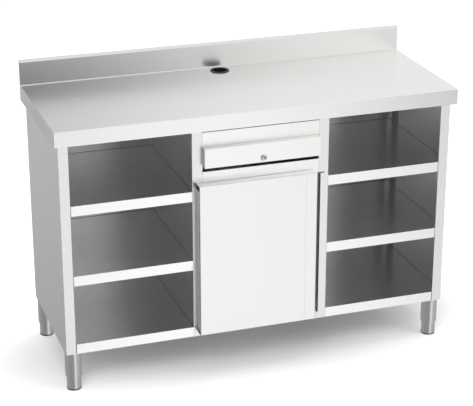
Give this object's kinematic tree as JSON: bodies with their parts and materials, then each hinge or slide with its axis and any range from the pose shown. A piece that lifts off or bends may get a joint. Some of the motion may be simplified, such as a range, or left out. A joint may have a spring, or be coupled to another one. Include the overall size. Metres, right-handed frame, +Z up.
{
  "type": "waiter service station",
  "caption": "Stainless steel service counter with a raised back edge, open shelves at both sides, a lockable drawer over a hinged door and adjustable legs.",
  "frame": {"origin": "on the floor, under the middle of the overall length and depth", "axes": "+X to the right seen from the front, +Y to the back, +Z up"},
  "size_m": [1.5, 0.577, 1.095],
  "materials": {
    "satin_steel": "satin brushed",
    "worktop_steel": "satin brushed along its length",
    "door_steel": "satin brushed",
    "leg_steel": "fine brushed",
    "zinc_steel": "bright zinc plated",
    "lock_chrome": "polished",
    "core_board": "grey melamine-faced board",
    "black_plastic": "matt",
    "black_rubber": "matt"
  },
  "bodies": {
    "carcass": {"back_panel": "satin_steel", "cable_grommet": "black_plastic", "cupboard_floor": "satin_steel", "finger_recess": "satin_steel", "front_left_leg": "leg_steel", "front_right_leg": "leg_steel", "left_base_channel": "satin_steel", "left_bottom_shelf": "satin_steel", "left_divider": "satin_steel", "left_front_post": "satin_steel", "left_lower_shelf": "satin_steel", "left_side_panel": "satin_steel", "left_slide_outer": "zinc_steel", "left_upper_shelf": "satin_steel", "leg_bolts": "zinc_steel", "leg_plugs": "black_plastic", "lower_hinge_bracket": "zinc_steel", "magnetic_catch": "black_plastic", "middle_rail": "satin_steel", "rear_left_leg": "leg_steel", "rear_right_leg": "leg_steel", "right_base_channel": "satin_steel", "right_bottom_shelf": "satin_steel", "right_divider": "satin_steel", "right_front_post": "satin_steel", "right_lower_shelf": "satin_steel", "right_side_panel": "satin_steel", "right_slide_outer": "zinc_steel", "right_upper_shelf": "satin_steel", "shelf_stiffeners": "zinc_steel", "top_rail": "satin_steel", "upper_hinge_bracket": "zinc_steel", "worktop": "worktop_steel", "worktop_core": "core_board"},
    "drawer": {"drawer_front": "door_steel", "drawer_tray": "satin_steel", "left_slide_inner": "zinc_steel", "right_slide_inner": "zinc_steel", "lock_body": "lock_chrome", "lock_nut": "lock_chrome"},
    "left_slide": {"left_slide_middle": "zinc_steel"},
    "right_slide": {"right_slide_middle": "zinc_steel"},
    "lock": {"lock_plug": "lock_chrome", "lock_cam": "lock_chrome"},
    "door": {"door_skin": "door_steel", "door_liner": "door_steel", "door_grip_channel": "door_steel", "upper_hinge_bushing": "zinc_steel", "lower_hinge_bushing": "zinc_steel", "catch_strike": "zinc_steel", "door_buffers": "black_rubber"},
    "front_left_levelling_foot": {"front_left_foot": "leg_steel", "front_left_foot_pad": "black_rubber"},
    "front_right_levelling_foot": {"front_right_foot": "leg_steel", "front_right_foot_pad": "black_rubber"},
    "rear_left_levelling_foot": {"rear_left_foot": "leg_steel", "rear_left_foot_pad": "black_rubber"},
    "rear_right_levelling_foot": {"rear_right_foot": "leg_steel", "rear_right_foot_pad": "black_rubber"}
  },
  "joints": [
    {"name": "drawer_slide", "type": "slide", "parent": "carcass", "child": "drawer", "axis": [0, -1, 0], "range_m": [0, 0.4]},
    {"name": "left_slide_run", "type": "slide", "parent": "carcass", "child": "left_slide", "axis": [0, -1, 0], "range_m": [0, 0.2]},
    {"name": "right_slide_run", "type": "slide", "parent": "carcass", "child": "right_slide", "axis": [0, -1, 0], "range_m": [0, 0.2]},
    {"name": "lock_turn", "type": "hinge", "parent": "drawer", "child": "lock", "pos_m": [0, -0.2755, 0.8247], "axis": [0, 1, 0], "range_deg": [0, 90]},
    {"name": "door_hinge", "type": "hinge", "parent": "carcass", "child": "door", "pos_m": [-0.235, -0.2685, 0.457], "axis": [0, 0, -1], "range_deg": [0, 110]},
    {"name": "front_left_foot_screw", "type": "slide", "parent": "carcass", "child": "front_left_levelling_foot", "axis": [0, 0, -1], "range_m": [0, 0.03]},
    {"name": "front_right_foot_screw", "type": "slide", "parent": "carcass", "child": "front_right_levelling_foot", "axis": [0, 0, -1], "range_m": [0, 0.03]},
    {"name": "rear_left_foot_screw", "type": "slide", "parent": "carcass", "child": "rear_left_levelling_foot", "axis": [0, 0, -1], "range_m": [0, 0.03]},
    {"name": "rear_right_foot_screw", "type": "slide", "parent": "carcass", "child": "rear_right_levelling_foot", "axis": [0, 0, -1], "range_m": [0, 0.03]}
  ],
  "couplings": [
    {"joint": "left_slide_run", "follows": "drawer_slide", "ratio": 0.5},
    {"joint": "right_slide_run", "follows": "drawer_slide", "ratio": 0.5}
  ]
}
